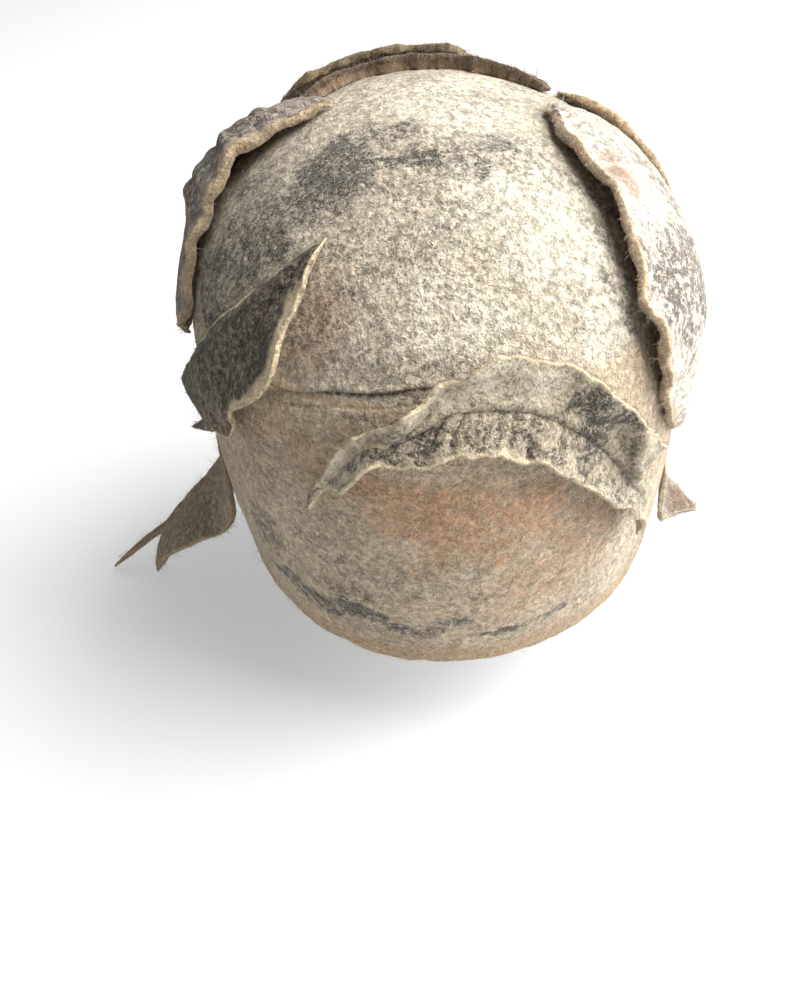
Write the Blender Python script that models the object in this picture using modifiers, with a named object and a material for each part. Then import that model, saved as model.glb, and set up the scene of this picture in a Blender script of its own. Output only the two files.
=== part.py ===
# Felt hat with raised felt leaves. +Z is up, the wearer faces +Y, and the origin is in the
# middle of the head opening, level with the rim at the nape. Lengths are in metres.
from collections import namedtuple

import bmesh
import bpy
import numpy as np

# Outside of the crown
CROWN_HEIGHT = 0.161
WIDEST_HEIGHT = 0.087
WIDEST_HALF_WIDTH = 0.084
WIDEST_BACK_REACH = 0.1015
WIDEST_FRONT_REACH = 0.097
RIM_HALF_WIDTH = 0.0765
RIM_BACK_REACH = 0.088
RIM_FRONT_REACH = 0.090
BROW_RISE = 0.030
CROWN_LEAN = 0.003
CROWN_FELT = 0.003
TUCK_DEPTH = 0.0012

# Leaves of felt laid on the crown
LEAF_FELT = 0.0028
SEAT_GAP = 0.0005
RIGHT_FLAP_LIFT = 0.0085
LEFT_FLAP_LIFT = 0.0085
TOP_FLAP_LIFT = 0.0020
FRONT_LEFT_LIFT = 0.0052
FRONT_RIGHT_LIFT = 0.0035
LEFT_LEAF_LIFT = 0.0065
RUFFLE_LIFT = 0.0050
RUFFLE_WAVE = 0.0030
LONG_TAIL_REACH = 0.050
SHORT_TAIL_REACH = 0.078
RIGHT_TIP_REACH = 0.016

# Shares and shape numbers
WIDEST_SHARE = 0.6
DOME_POWER = 2.2
BROW_POWER = 3
TUCK_SHARE = 0.468
TUCK_WIDTH = 0.012
TUCK_MIDDLE = -18
TUCK_SPREAD = 26
TUCK_REACH = 1.5
LEAF_CURL = 1.6
DOWN_STEP = 0.001
TURN_STEP = 0.06
POLE_SHARE = 0.001
WELD = 1e-5
CROWN_SEGMENTS = 44
CROWN_ROWS = 16

# One cut across a leaf. Each edge has its azimuth in degrees (0 at the back, + toward the
# wearer's right), its share of the way down from the pole to the rim, and its lift off the
# crown as a share of the leaf's named lift; middle is the lift share halfway across.
Section = namedtuple("Section", "azimuth_a down_a lift_a azimuth_b down_b lift_b middle")

Leaf = namedtuple("Leaf", "name lift steps_along steps_across wave waves sections colour")

RIGHT_FLAP = (
    Section(85, 0.182, 0.15, 93, 0.190, 0.00, 0.05),
    Section(71, 0.212, 0.70, 97, 0.240, 0.00, 0.25),
    Section(60, 0.258, 0.90, 101, 0.300, 0.00, 0.30),
    Section(53, 0.325, 1.00, 101, 0.360, 0.00, 0.25),
    Section(48, 0.400, 1.00, 98, 0.430, 0.00, 0.25),
    Section(45, 0.460, 1.00, 95, 0.495, 0.00, 0.35),
    Section(46, 0.520, 0.80, 91, 0.550, 0.00, 0.35),
    Section(49, 0.580, 0.60, 83, 0.610, 0.00, 0.15),
    Section(53, 0.640, 0.30, 73, 0.670, 0.00, 0.05),
    Section(60, 0.705, 0.05, 65, 0.710, 0.00, 0.00),
)

LEFT_FLAP = (
    Section(-96, 0.118, 0.10, -103, 0.128, 0.10, 0.10),
    Section(-91, 0.160, 0.55, -112, 0.180, 0.10, 0.25),
    Section(-87, 0.210, 0.85, -119, 0.235, 0.05, 0.35),
    Section(-85, 0.260, 1.00, -124, 0.290, 0.00, 0.40),
    Section(-81, 0.310, 1.00, -126, 0.345, 0.00, 0.45),
    Section(-77, 0.360, 0.80, -123, 0.400, 0.00, 0.40),
    Section(-75, 0.405, 0.55, -117, 0.450, 0.00, 0.20),
    Section(-74, 0.450, 0.50, -109, 0.500, 0.00, 0.15),
    Section(-73, 0.495, 0.60, -101, 0.545, 0.00, 0.15),
    Section(-76, 0.540, 0.50, -94, 0.580, 0.00, 0.15),
    Section(-81, 0.580, 0.15, -88, 0.595, 0.00, 0.05),
)

TOP_FLAP = (
    Section(-114, 0.186, 0.10, -116, 0.194, 0.00, 0.05),
    Section(-130, 0.170, 0.80, -131, 0.212, 0.00, 0.20),
    Section(-150, 0.157, 1.00, -151, 0.220, 0.00, 0.25),
    Section(-170, 0.150, 1.00, -170, 0.223, 0.00, 0.25),
    Section(-190, 0.150, 1.00, -190, 0.226, 0.00, 0.30),
    Section(-210, 0.160, 1.00, -210, 0.236, 0.00, 0.30),
    Section(-228, 0.185, 0.80, -227, 0.245, 0.00, 0.25),
    Section(-243, 0.222, 0.20, -242, 0.240, 0.00, 0.10),
)

FRONT_LEFT_LEAF = (
    Section(-126, 0.262, 0.50, -127, 0.285, 0.15, 0.30),
    Section(-137, 0.215, 0.90, -136, 0.335, 0.00, 0.45),
    Section(-152, 0.195, 1.00, -149, 0.385, 0.00, 0.45),
    Section(-168, 0.183, 1.00, -166, 0.405, 0.00, 0.45),
    Section(-184, 0.182, 1.00, -183, 0.390, 0.00, 0.45),
    Section(-196, 0.196, 0.95, -198, 0.345, 0.00, 0.45),
    Section(-206, 0.262, 0.50, -206, 0.285, 0.15, 0.30),
)

FRONT_RIGHT_LEAF = (
    Section(121, 0.290, 0.20, 125, 0.298, 0.05, 0.10),
    Section(112, 0.318, 0.80, 131, 0.330, 0.05, 0.25),
    Section(108, 0.352, 1.00, 136, 0.375, 0.05, 0.30),
    Section(105, 0.392, 1.00, 137, 0.420, 0.05, 0.30),
    Section(102, 0.436, 1.00, 132, 0.465, 0.05, 0.30),
    Section(100, 0.482, 0.80, 124, 0.505, 0.05, 0.20),
    Section(99, 0.530, 0.30, 110, 0.540, 0.05, 0.10),
)

LEFT_LEAF = (
    Section(-32.0, 0.281, 0.10, -28.6, 0.281, 0.55, 0.30),
    Section(-37.5, 0.312, 0.00, -28.5, 0.318, 1.00, 0.30),
    Section(-43.5, 0.355, 0.00, -29.5, 0.364, 1.00, 0.30),
    Section(-49.5, 0.400, 0.00, -31.5, 0.410, 1.00, 0.30),
    Section(-55.5, 0.445, 0.00, -32.5, 0.458, 1.00, 0.25),
    Section(-61.5, 0.500, 0.05, -36.0, 0.493, 1.00, 0.25),
    Section(-67.5, 0.555, 0.15, -40.5, 0.522, 0.90, 0.25),
    Section(-75.5, 0.625, 0.70, -44.5, 0.545, 0.70, 0.20),
    Section(-64.5, 0.640, 0.30, -46.0, 0.570, 0.45, 0.15),
    Section(-73.0, 0.702, 0.90, -48.5, 0.600, 0.40, 0.15),
)

BACK_RUFFLE = (
    Section(-30.5, 0.632, 0.30, -29.0, 0.646, 0.50, 0.25),
    Section(-24.0, 0.575, 0.60, -25.0, 0.608, 0.70, 0.10),
    Section(-18.5, 0.520, 0.90, -19.0, 0.580, 0.90, 0.00),
    Section(-12.0, 0.500, 0.90, -14.0, 0.546, 0.90, 0.00),
    Section(-5.0, 0.466, 1.00, -7.0, 0.545, 1.00, 0.00),
    Section(2.0, 0.440, 1.00, 0.0, 0.537, 1.00, 0.00),
    Section(9.0, 0.424, 1.00, 7.0, 0.543, 1.00, 0.00),
    Section(16.5, 0.436, 1.00, 14.0, 0.563, 1.00, 0.00),
    Section(24.0, 0.466, 1.00, 21.0, 0.590, 1.00, 0.00),
    Section(31.0, 0.518, 0.90, 28.0, 0.640, 1.00, 0.00),
    Section(36.5, 0.560, 0.80, 33.0, 0.695, 1.00, 0.05),
    Section(42.0, 0.615, 0.70, 37.5, 0.745, 1.00, 0.15),
    Section(46.5, 0.660, 0.60, 41.0, 0.785, 0.80, 0.25),
)

LEFT_TAIL_LONG = (
    Section(-94, 0.800, 0.00, -86, 0.800, 0.00, 0.00),
    Section(-98, 0.860, 0.00, -80, 0.865, 0.00, 0.00),
    Section(-98, 0.915, 0.08, -76, 0.915, 0.03, 0.05),
    Section(-97, 0.965, 0.30, -78, 0.965, 0.14, 0.22),
    Section(-96, 1.010, 0.56, -82, 1.005, 0.40, 0.48),
    Section(-95, 1.060, 0.82, -86, 1.050, 0.72, 0.77),
    Section(-92, 1.115, 1.00, -90, 1.115, 0.97, 0.985),
)

LEFT_TAIL_SHORT = (
    Section(-106, 0.870, 0.00, -100, 0.870, 0.00, 0.00),
    Section(-108, 0.935, 0.00, -100, 0.940, 0.00, 0.00),
    Section(-107, 1.015, 0.12, -101, 1.010, 0.11, 0.115),
    Section(-105, 1.085, 0.38, -101, 1.075, 0.37, 0.375),
    Section(-103, 1.135, 0.70, -100, 1.125, 0.69, 0.695),
    Section(-99, 1.170, 1.00, -98, 1.165, 0.99, 0.995),
)

RIGHT_TIP = (
    Section(86, 0.905, 0.00, 76, 0.875, 0.00, 0.00),
    Section(86, 0.945, 0.08, 73, 0.905, 0.03, 0.05),
    Section(82, 0.967, 0.52, 72, 0.938, 0.42, 0.47),
    Section(78, 0.978, 1.00, 76, 0.972, 0.98, 0.99),
)

LEAVES = (
    Leaf("back_ruffle", RUFFLE_LIFT, 38, 8, RUFFLE_WAVE, 5, BACK_RUFFLE, (0.30, 0.26, 0.20)),
    Leaf("left_leaf", LEFT_LEAF_LIFT, 30, 6, 0, 0, LEFT_LEAF, (0.10, 0.09, 0.08)),
    Leaf("left_flap", LEFT_FLAP_LIFT, 22, 6, 0, 0, LEFT_FLAP, (0.26, 0.23, 0.18)),
    Leaf("right_flap", RIGHT_FLAP_LIFT, 22, 6, 0, 0, RIGHT_FLAP, (0.62, 0.56, 0.46)),
    Leaf("top_flap", TOP_FLAP_LIFT, 20, 4, 0, 0, TOP_FLAP, (0.16, 0.10, 0.07)),
    Leaf("front_left_leaf", FRONT_LEFT_LIFT, 18, 6, 0, 0, FRONT_LEFT_LEAF, (0.24, 0.21, 0.14)),
    Leaf("front_right_leaf", FRONT_RIGHT_LIFT, 16, 5, 0, 0, FRONT_RIGHT_LEAF, (0.36, 0.22, 0.15)),
    Leaf("left_tail_long", LONG_TAIL_REACH, 16, 3, 0, 0, LEFT_TAIL_LONG, (0.20, 0.16, 0.12)),
    Leaf("left_tail_short", SHORT_TAIL_REACH, 14, 2, 0, 0, LEFT_TAIL_SHORT, (0.28, 0.21, 0.14)),
    Leaf("right_tip", RIGHT_TIP_REACH, 10, 3, 0, 0, RIGHT_TIP, (0.38, 0.33, 0.27)),
)


def clear_scene():
    for old in list(bpy.data.objects):
        bpy.data.objects.remove(old, do_unlink=True)


def rim_height(turn):
    # the rim is level round the back and sides, and rises in a smooth arch over the brow
    return BROW_RISE * (0.5 - 0.5 * np.cos(turn)) ** BROW_POWER


def crown_point(azimuth, down):
    # above the widest level a superellipse dome, below it walls that draw in to the rim
    turn = np.radians(azimuth)
    tilt = np.clip(down / WIDEST_SHARE, 0, 1) * np.pi / 2
    dome_height = CROWN_HEIGHT - WIDEST_HEIGHT
    dome_z = WIDEST_HEIGHT + dome_height * np.cos(tilt).clip(0) ** (2 / DOME_POWER)
    fall = (down - WIDEST_SHARE) / (1 - WIDEST_SHARE)
    wall_z = WIDEST_HEIGHT - (WIDEST_HEIGHT - rim_height(turn)) * fall
    z = np.where(down <= WIDEST_SHARE, dome_z, wall_z)
    draw_in = (1 - z / WIDEST_HEIGHT).clip(0) ** 2
    back = np.cos(turn) > 0
    widest_reach = np.where(back, WIDEST_BACK_REACH, WIDEST_FRONT_REACH)
    rim_reach = np.where(back, RIM_BACK_REACH, RIM_FRONT_REACH)
    half_width = WIDEST_HALF_WIDTH - (WIDEST_HALF_WIDTH - RIM_HALF_WIDTH) * draw_in
    reach = widest_reach - (widest_reach - rim_reach) * draw_in
    lean = CROWN_LEAN * (0.5 - 0.5 * np.cos(np.pi * ((z - WIDEST_HEIGHT) / dome_height).clip(0)))
    x = half_width * np.sin(tilt) * np.sin(turn) - lean
    y = -reach * np.sin(tilt) * np.cos(turn)
    return np.stack([x, y, z], axis=-1)


def crown_normal(azimuth, down):
    # the cross product of the two directions along the surface
    across = crown_point(azimuth + TURN_STEP, down) - crown_point(azimuth - TURN_STEP, down)
    along = crown_point(azimuth, down + DOWN_STEP) - crown_point(azimuth, down - DOWN_STEP)
    normal = np.cross(along, across)
    return normal / np.linalg.norm(normal, axis=-1, keepdims=True)


def tuck(azimuth, down):
    # a groove across the back that fades out at both ends
    across = np.exp(-(((down - TUCK_SHARE) / TUCK_WIDTH) ** 2))
    along = np.exp(-(((azimuth - TUCK_MIDDLE) / TUCK_SPREAD) ** 4))
    return -TUCK_DEPTH * across * along


def smooth_column(values, share):
    # a cubic through evenly spaced values whose slopes never overshoot them
    values = np.array(values, dtype=float)
    steps = np.diff(values)
    slopes = np.zeros(len(values))
    same_way = steps[:-1] * steps[1:] > 0
    total = np.where(same_way, steps[:-1] + steps[1:], 1)
    slopes[1:-1] = np.where(same_way, 2 * steps[:-1] * steps[1:] / total, 0)
    slopes[0] = steps[0]
    slopes[-1] = steps[-1]
    place = share * (len(values) - 1)
    first = np.minimum(place.astype(int), len(values) - 2)
    t = place - first
    rise = values[first] + steps[first] * (3 * t**2 - 2 * t**3)
    bend = slopes[first] * (t - 2 * t**2 + t**3) + slopes[first + 1] * (t**3 - t**2)
    return rise + bend


def leaf_point(leaf, along, across):
    # each section runs straight on the crown from edge a to edge b, and lifts toward both
    columns = Section(*[smooth_column(column, along) for column in zip(*leaf.sections)])
    azimuth = columns.azimuth_a + (columns.azimuth_b - columns.azimuth_a) * across
    down = columns.down_a + (columns.down_b - columns.down_a) * across
    side = 2 * across - 1
    edge_lift = np.where(side < 0, columns.lift_a, columns.lift_b)
    flare = np.abs(side) ** LEAF_CURL
    lift = leaf.lift * (columns.middle + (edge_lift - columns.middle) * flare)
    phase = np.where(side < 0, 0, np.pi)
    ripple = leaf.wave * (0.5 - 0.5 * np.cos(2 * np.pi * leaf.waves * along + phase)) * flare
    height = SEAT_GAP + LEAF_FELT / 2 + lift + ripple
    return crown_point(azimuth, down) + crown_normal(azimuth, down) * height[:, None]


def mapped_grid(name, steps_u, steps_v, place):
    # a flat grid whose vertices are moved to place(u, v), both running from 0 to 1
    grid = bmesh.new()
    bmesh.ops.create_grid(grid, x_segments=steps_u, y_segments=steps_v, size=0.5)
    flat = np.array([vertex.co for vertex in grid.verts])
    spots = place(flat[:, 0] + 0.5, flat[:, 1] + 0.5)
    for vertex, spot in zip(grid.verts, spots):
        vertex.co = spot
    bmesh.ops.remove_doubles(grid, verts=grid.verts, dist=WELD)
    bmesh.ops.recalc_face_normals(grid, faces=grid.faces)
    mesh = bpy.data.meshes.new(name)
    grid.to_mesh(mesh)
    grid.free()
    mesh.shade_smooth()
    return mesh


def add_felt(mesh, collection, thickness, offset, colour):
    part = bpy.data.objects.new(mesh.name, mesh)
    collection.objects.link(part)
    wall = part.modifiers.new("felt", "SOLIDIFY")
    wall.thickness = thickness
    wall.offset = offset
    wall.use_even_offset = True
    mesh.materials.append(felt_material(mesh.name, colour))
    return part


def felt_material(name, colour):
    material = bpy.data.materials.new(name)
    material.use_nodes = True
    shader = material.node_tree.nodes["Principled BSDF"]
    shader.inputs["Base Color"].default_value = (*colour, 1)
    shader.inputs["Roughness"].default_value = 0.95
    shader.inputs["Metallic"].default_value = 0
    return material


def build_crown(collection):
    rows = np.linspace(0, 1, CROWN_ROWS + 1)
    tuck_rows = TUCK_SHARE + TUCK_WIDTH * TUCK_REACH * np.array([-1, 0, 1])
    clear_rows = rows[np.abs(rows - TUCK_SHARE) > TUCK_WIDTH * (TUCK_REACH + 1)]
    levels = np.sort(np.concatenate([clear_rows, tuck_rows]))

    def place(u, v):
        azimuth = 360 * u - 180
        down = np.interp(v, np.linspace(0, 1, len(levels)), levels)
        outward = crown_normal(azimuth, down.clip(POLE_SHARE))
        return crown_point(azimuth, down) + outward * tuck(azimuth, down)[:, None]

    mesh = mapped_grid("crown", CROWN_SEGMENTS, len(levels) - 1, place)
    add_felt(mesh, collection, CROWN_FELT, -1, (0.52, 0.47, 0.39))


def build_leaf(leaf, collection):
    mesh = mapped_grid(leaf.name, leaf.steps_along, leaf.steps_across,
                       lambda u, v: leaf_point(leaf, u, v))
    add_felt(mesh, collection, LEAF_FELT, 0, leaf.colour)


def main():
    clear_scene()
    collection = bpy.data.collections.new("felt_hat")
    bpy.context.scene.collection.children.link(collection)
    build_crown(collection)
    for leaf in LEAVES:
        build_leaf(leaf, collection)


main()
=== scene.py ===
# Felt hat with raised felt leaves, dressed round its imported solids.
# Metres, +Z up, the back of the hat faces -Y and the wearer's right is +X.
import itertools

import bpy
import numpy as np
from mathutils import Matrix, Vector


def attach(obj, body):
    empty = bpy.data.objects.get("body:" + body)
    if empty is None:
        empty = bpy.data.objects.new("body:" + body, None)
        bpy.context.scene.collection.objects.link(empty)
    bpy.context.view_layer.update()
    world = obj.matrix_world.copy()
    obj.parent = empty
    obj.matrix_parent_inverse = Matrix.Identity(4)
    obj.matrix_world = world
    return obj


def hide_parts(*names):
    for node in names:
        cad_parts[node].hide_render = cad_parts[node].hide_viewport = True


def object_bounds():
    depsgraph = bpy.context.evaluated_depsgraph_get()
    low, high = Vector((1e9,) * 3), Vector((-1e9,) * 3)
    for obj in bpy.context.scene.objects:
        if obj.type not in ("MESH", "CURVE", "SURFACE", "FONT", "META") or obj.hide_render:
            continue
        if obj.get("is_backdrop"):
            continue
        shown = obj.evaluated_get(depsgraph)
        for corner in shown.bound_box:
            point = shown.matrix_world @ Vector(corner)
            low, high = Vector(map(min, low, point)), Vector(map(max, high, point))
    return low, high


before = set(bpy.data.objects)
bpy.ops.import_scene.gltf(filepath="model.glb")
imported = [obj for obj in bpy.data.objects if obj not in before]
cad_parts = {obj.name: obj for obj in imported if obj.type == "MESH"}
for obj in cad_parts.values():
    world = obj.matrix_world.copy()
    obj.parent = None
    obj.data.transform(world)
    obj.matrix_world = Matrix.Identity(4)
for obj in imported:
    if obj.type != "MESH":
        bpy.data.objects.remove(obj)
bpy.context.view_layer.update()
print("frame loaded:", sorted(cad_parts))


crownShape = {
    "height": 0.161, "widestHeight": 0.087, "browRise": 0.03, "lean": 0.003, "felt": 0.003,
    "widestHalfWidth": 0.084, "widestBackReach": 0.1015, "widestFrontReach": 0.097,
    "rimHalfWidth": 0.0765, "rimBackReach": 0.088, "rimFrontReach": 0.09,
    "widestShare": 0.6, "domePower": 2.2, "browPower": 3,
}
leafFelt = 0.0028
seatGap = 0.0005


def paint(red, green, blue):
    # a screen colour from 0 to 255 turned to linear light
    share = np.array([red, green, blue]) / 255
    linear = np.where(share > 0.04045, ((share + 0.055) / 1.055) ** 2.4, share / 12.92)
    return (*[float(v) for v in linear], 1)


def rimHeight(turn):
    # level round the back and sides, with a smooth arch over the brow
    return crownShape["browRise"] * (0.5 - 0.5 * np.cos(turn)) ** crownShape["browPower"]


def crownPoint(azimuth, down):
    # a superellipse dome above the widest level, walls that draw in to the rim below it
    c = crownShape
    turn = np.radians(azimuth)
    tilt = np.clip(down / c["widestShare"], 0, 1) * np.pi / 2
    domeHeight = c["height"] - c["widestHeight"]
    domeZ = c["widestHeight"] + domeHeight * np.cos(tilt).clip(0) ** (2 / c["domePower"])
    fall = (down - c["widestShare"]) / (1 - c["widestShare"])
    wallZ = c["widestHeight"] - (c["widestHeight"] - rimHeight(turn)) * fall
    z = np.where(down <= c["widestShare"], domeZ, wallZ)
    drawIn = (1 - z / c["widestHeight"]).clip(0) ** 2
    back = np.cos(turn) > 0
    widestReach = np.where(back, c["widestBackReach"], c["widestFrontReach"])
    rimReach = np.where(back, c["rimBackReach"], c["rimFrontReach"])
    halfWidth = c["widestHalfWidth"] - (c["widestHalfWidth"] - c["rimHalfWidth"]) * drawIn
    reach = widestReach - (widestReach - rimReach) * drawIn
    lean = c["lean"] * (0.5 - 0.5 * np.cos(np.pi * ((z - c["widestHeight"]) / domeHeight).clip(0)))
    x = halfWidth * np.sin(tilt) * np.sin(turn) - lean
    y = -reach * np.sin(tilt) * np.cos(turn)
    return np.stack([x, y, z], axis=-1)


def unit(vectors):
    # each vector divided by its length
    return vectors / np.linalg.norm(vectors, axis=-1, keepdims=True).clip(1e-12)


def crownNormal(azimuth, down):
    # the cross product of the two directions along the crown
    across = crownPoint(azimuth + 0.06, down) - crownPoint(azimuth - 0.06, down)
    along = crownPoint(azimuth, down + 0.001) - crownPoint(azimuth, down - 0.001)
    return unit(np.cross(along, across))


def lumps(points, size, seed):
    # value noise from -1 to 1: a repeatable number at each corner of a lattice, eased between
    place = np.asarray(points) / size
    cell = np.floor(place)
    t = place - cell
    t = t * t * (3 - 2 * t)
    total = 0
    for corner in itertools.product((0, 1), repeat=3):
        weight = np.prod(np.where(np.array(corner) > 0, t, 1 - t), axis=-1)
        mixed = np.sin((cell + corner) @ np.array([127.1, 311.7, 74.7]) + 17.17 * seed) * 43758.5453
        total = total + weight * (mixed - np.floor(mixed))
    return 2 * total - 1


def crumple(points, size, seed, layers=3):
    # lumps of one size with finer lumps of half the size and height laid over them
    return sum(lumps(points, size / 2 ** k, seed + 5 * k) / 2 ** k for k in range(layers))


def bell(value, width):
    # 1 where the value is 0, falling off to both sides
    return np.exp(-(value / width) ** 2)


def easedStep(value, low, high):
    # 0 below low, 1 above high, and an eased rise between them
    t = ((value - low) / (high - low)).clip(0, 1)
    return t * t * (3 - 2 * t)


def meshFromGrid(name, points, faces, attributes):
    # foreach_set fills one mesh from whole arrays; a face whose last corner repeats is a triangle
    keep = faces[:, 2] != faces[:, 3]
    corners = np.concatenate([faces[keep].ravel(), faces[~keep][:, :3].ravel()])
    sizes = np.concatenate([np.full(keep.sum(), 4), np.full((~keep).sum(), 3)])
    mesh = bpy.data.meshes.new(name)
    mesh.vertices.add(len(points))
    mesh.vertices.foreach_set("co", points.astype(np.float32).ravel())
    mesh.loops.add(len(corners))
    mesh.loops.foreach_set("vertex_index", corners.astype(np.int32))
    mesh.polygons.add(len(sizes))
    mesh.polygons.foreach_set("loop_start", (np.cumsum(sizes) - sizes).astype(np.int32))
    mesh.update(calc_edges=True)
    mesh.shade_smooth()
    for key, values in attributes.items():
        kind, field = ("FLOAT_COLOR", "color") if values.ndim == 2 else ("FLOAT", "value")
        layer = mesh.attributes.new(key, kind, "POINT")
        layer.data.foreach_set(field, values.astype(np.float32).ravel())
    return mesh


def addObject(name, data):
    # a new object in the scene's own collection
    piece = bpy.data.objects.new(name, data)
    bpy.context.scene.collection.objects.link(piece)
    return piece


def addPiece(name, mesh, node, material):
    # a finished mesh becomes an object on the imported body, in place of its solid if it has one
    piece = addObject(name, mesh)
    mesh.materials.append(material)
    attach(piece, "root")
    if node:
        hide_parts(node)
    print(name, "made with", len(mesh.polygons), "faces")


def gridNormal(points, outward):
    # the cross product of the grid's two directions, on the side that outward points to
    normal = unit(np.cross(np.gradient(points, axis=0), np.gradient(points, axis=1)))
    return normal if (normal * outward).sum() > 0 else -normal


def crowdedSteps(count, crowd=0.85):
    # steps from 0 to 1 that are short at both ends, so that a rounded edge has enough of them
    share = np.linspace(0, 1, count + 1)
    return share - crowd * np.sin(2 * np.pi * share) / (2 * np.pi)


def quadsOf(index):
    # the four corners of each cell of a grid of vertex numbers
    return np.stack([index[:-1, :-1], index[1:, :-1], index[1:, 1:], index[:-1, 1:]], -1).reshape(-1, 4)


def patchMask(points, azimuth, down, wide, tall, strength):
    # an ellipse laid on the crown at an azimuth and a share down, with a wandering outline
    centre = crownPoint(np.array(azimuth), np.array(down))
    right = unit(crownPoint(np.array(azimuth + 1.0), np.array(down)) - centre)
    lower = unit(crownPoint(np.array(azimuth), np.array(down + 0.01)) - centre)
    offset = points - centre
    reach = np.sqrt((offset @ right / wide) ** 2 + (offset @ lower / tall) ** 2
                    + ((offset ** 2).sum(-1) / 0.06 ** 2) ** 2)
    ragged = 0.45 * crumple(points, 0.013, 31) + 0.3 * crumple(points, 0.0045, 47, 2)
    mottle = 0.6 + 0.4 * easedStep(lumps(points * np.array([1, 1, 2]), 0.007, 61), -0.35, 0.45)
    return easedStep(1.7 - reach + ragged, 0, 1.3) * mottle * strength * 1.35


def toneArray(points, levels, patches):
    # dark, warm and pale shares of every point: a level all over, or more in a patch of that tone
    tones = []
    for level, name in zip(levels, ("dark", "warm", "pale")):
        masks = [patchMask(points, *patch) for patch in patches.get(name, ())]
        tones.append(np.maximum.reduce([np.full(len(points), level), *masks]))
    cloud = 0.13 * crumple(points, 0.018, 77)
    tones[0] = tones[0] + cloud
    tones[2] = tones[2] - 0.6 * cloud
    return tones


def newSocket(group, name, kind, direction):
    # one named input or output of a shader group
    return group.interface.new_socket(name=name, socket_type=kind, in_out=direction)


def plug(tree, socket, value):
    # an input takes another node's output, or else a value of its own
    if isinstance(value, bpy.types.NodeSocket):
        tree.links.new(value, socket)
    else:
        socket.default_value = value


def addNode(tree, kind, **settings):
    # a node with its settings; a key that names an input is plugged into that input
    node = tree.nodes.new(kind)
    for key, value in settings.items():
        if key in node.inputs:
            plug(tree, node.inputs[key], value)
        else:
            setattr(node, key, value)
    return node


def maths(tree, operation, *values):
    # a maths node whose inputs are numbers or other nodes' outputs
    node = addNode(tree, "ShaderNodeMath", operation=operation)
    for k, value in enumerate(values):
        plug(tree, node.inputs[k], value)
    return node.outputs[0]


def mixColour(tree, share, first, second, blend="MIX"):
    # first where the share is 0, second where it is 1
    node = addNode(tree, "ShaderNodeMix", data_type="RGBA", blend_type=blend)
    for k, value in ((0, share), (6, first), (7, second)):
        plug(tree, node.inputs[k], value)
    return node.outputs[2]


# noise scales, and how wide, how curled and how strong each kind of thread is
nap = {
    "fineScale": 1300, "nubScale": 430, "grainScale": 760, "blotchScale": 150,
    "lightThread": {"scale": 340, "width": 0.024, "curl": 1.6}, "lightShare": 0.4,
    "fineThread": {"scale": 700, "width": 0.036, "curl": 1.0}, "fineShare": 0.26,
    "darkThread": {"scale": 480, "width": 0.038, "curl": 2.0}, "darkShare": 0.4,
    "bumpDistance": 0.0011,
}


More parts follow.
